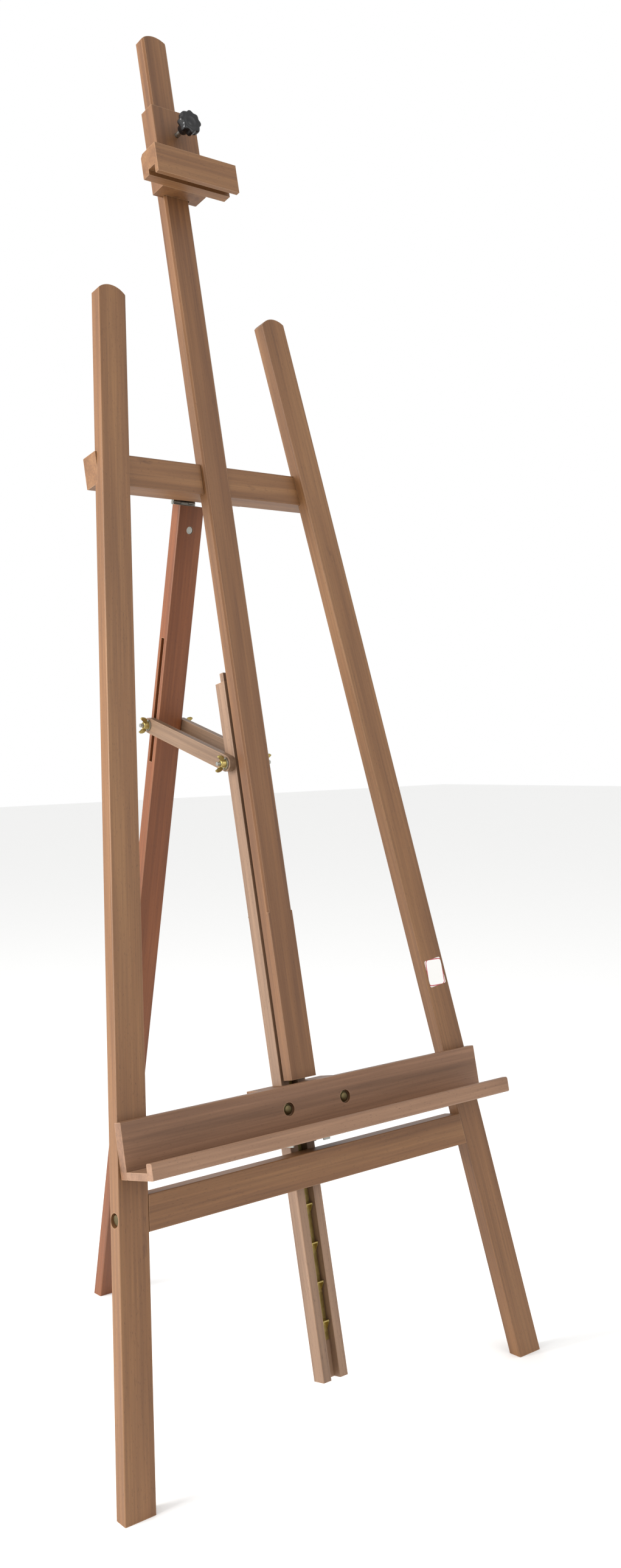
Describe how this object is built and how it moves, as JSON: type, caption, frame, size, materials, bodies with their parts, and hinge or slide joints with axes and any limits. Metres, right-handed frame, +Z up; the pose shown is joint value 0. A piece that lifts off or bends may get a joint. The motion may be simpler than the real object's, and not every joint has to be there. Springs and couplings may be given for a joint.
{
  "type": "artist easel",
  "caption": "Wooden lyre easel that folds: splayed front legs, hinged rear leg with struts, sliding mast with canvas clamp, and a ratchet tray.",
  "frame": {"origin": "on the floor, centred between the front feet and the rear foot", "axes": "+X to the right seen from the front, +Y backwards towards the rear leg, +Z up"},
  "size_m": [0.7552, 0.6856, 2.0703],
  "materials": {
    "beech": "oiled beech, satin",
    "beech_pale": "oiled beech, satin",
    "yellow_zinc": "yellow zinc plate",
    "black_plastic": "moulded",
    "steel": "zinc plated steel"
  },
  "bodies": {
    "frame": {"leg_left": "beech", "leg_right": "beech", "upper_crossbar": "beech", "lower_crossbar": "beech", "upper_crossbar_screw_left": "steel", "upper_crossbar_screw_right": "steel", "lower_crossbar_bolt_left": "steel", "lower_crossbar_bolt_right": "steel", "rail_stile_left": "beech_pale", "rail_stile_right": "beech_pale", "rail_back_strip": "beech_pale", "rail_screw_left": "steel", "rail_screw_right": "steel", "ratchet_rack": "yellow_zinc", "hinge_board": "beech", "hinge_leaf_fixed": "steel", "hinge_pin": "steel", "front_stud_left": "steel", "front_stud_right": "steel"},
    "mast": {"mast": "beech", "mast_tongue": "beech_pale", "mast_clamp_stud": "steel", "mast_clamp_washer": "steel"},
    "mast_nut": {"mast_wing_nut": "yellow_zinc"},
    "clamp_head": {"head_block": "beech", "clamp_bar": "beech", "head_strap": "steel", "head_screw_left": "steel", "head_screw_right": "steel"},
    "knob": {"knob": "black_plastic", "knob_stud": "steel"},
    "tray": {"tray_backboard": "beech", "tray_shelf": "beech_pale", "tray_lip": "beech_pale", "tray_spacer_left": "beech_pale", "tray_spacer_right": "beech_pale", "tray_strap": "steel", "tray_bolt_left": "steel", "tray_bolt_right": "steel", "tray_nut_left": "steel", "tray_nut_right": "steel", "pawl_bracket": "steel", "pawl_pin": "steel", "pawl_spring": "steel"},
    "pawl": {"pawl": "steel"},
    "rear_leg": {"rear_leg": "beech", "hinge_leaf_moving": "steel", "hinge_bolt": "steel"},
    "struts": {"strut_left": "beech_pale", "strut_right": "beech_pale", "front_washer_left": "steel", "front_washer_right": "steel", "slot_washer_left": "steel", "slot_washer_right": "steel", "slot_bolt_left": "steel", "slot_bolt_right": "steel"},
    "front_nut_left": {"front_wing_nut_left": "yellow_zinc"},
    "front_nut_right": {"front_wing_nut_right": "yellow_zinc"},
    "slot_nut_left": {"slot_wing_nut_left": "yellow_zinc"},
    "slot_nut_right": {"slot_wing_nut_right": "yellow_zinc"}
  },
  "joints": [
    {"name": "rear_leg_fold", "type": "hinge", "parent": "frame", "child": "rear_leg", "pos_m": [0, 0.02862, 1.33742], "axis": [1, 0, 0], "range_deg": [-23.4, 0]},
    {"name": "strut_swing", "type": "hinge", "parent": "frame", "child": "struts", "pos_m": [0, -0.11339, 0.93015], "axis": [1, 0, 0], "range_deg": [0, 49.18]},
    {"name": "mast_slide", "type": "slide", "parent": "frame", "child": "mast", "axis": [0, 0.1942, 0.981], "range_m": [0, 0.3]},
    {"name": "mast_nut_turn", "type": "hinge", "parent": "mast", "child": "mast_nut", "pos_m": [0, -0.14276, 0.7015], "axis": [0, 0.981, -0.1942], "continuous": true},
    {"name": "head_slide", "type": "slide", "parent": "mast", "child": "clamp_head", "axis": [0, 0.1942, 0.981], "range_m": [-0.4, 0.1]},
    {"name": "knob_turn", "type": "hinge", "parent": "clamp_head", "child": "knob", "pos_m": [0, -0.00661, 1.90396], "axis": [0, -0.981, 0.1942], "continuous": true},
    {"name": "tray_slide", "type": "slide", "parent": "frame", "child": "tray", "axis": [0, 0.1942, 0.981], "range_m": [0, 0.055]},
    {"name": "pawl_release", "type": "hinge", "parent": "tray", "child": "pawl", "pos_m": [0, -0.24551, 0.3885], "axis": [1, 0, 0], "range_deg": [0, 20], "stiffness_Nm_per_rad": 0.2, "springref_deg": -11.46},
    {"name": "front_nut_left_turn", "type": "hinge", "parent": "struts", "child": "front_nut_left", "pos_m": [-0.04, -0.11339, 0.93015], "axis": [-1, 0, 0], "continuous": true},
    {"name": "front_nut_right_turn", "type": "hinge", "parent": "struts", "child": "front_nut_right", "pos_m": [0.04, -0.11339, 0.93015], "axis": [1, 0, 0], "continuous": true},
    {"name": "slot_nut_left_turn", "type": "hinge", "parent": "struts", "child": "slot_nut_left", "pos_m": [-0.04, 0.0952, 0.99195], "axis": [-1, 0, 0], "continuous": true},
    {"name": "slot_nut_right_turn", "type": "hinge", "parent": "struts", "child": "slot_nut_right", "pos_m": [0.04, 0.0952, 0.99195], "axis": [1, 0, 0], "continuous": true}
  ],
  "couplings": [
    {"joint": "strut_swing", "follows": "rear_leg_fold", "ratio": -2.1013}
  ]
}
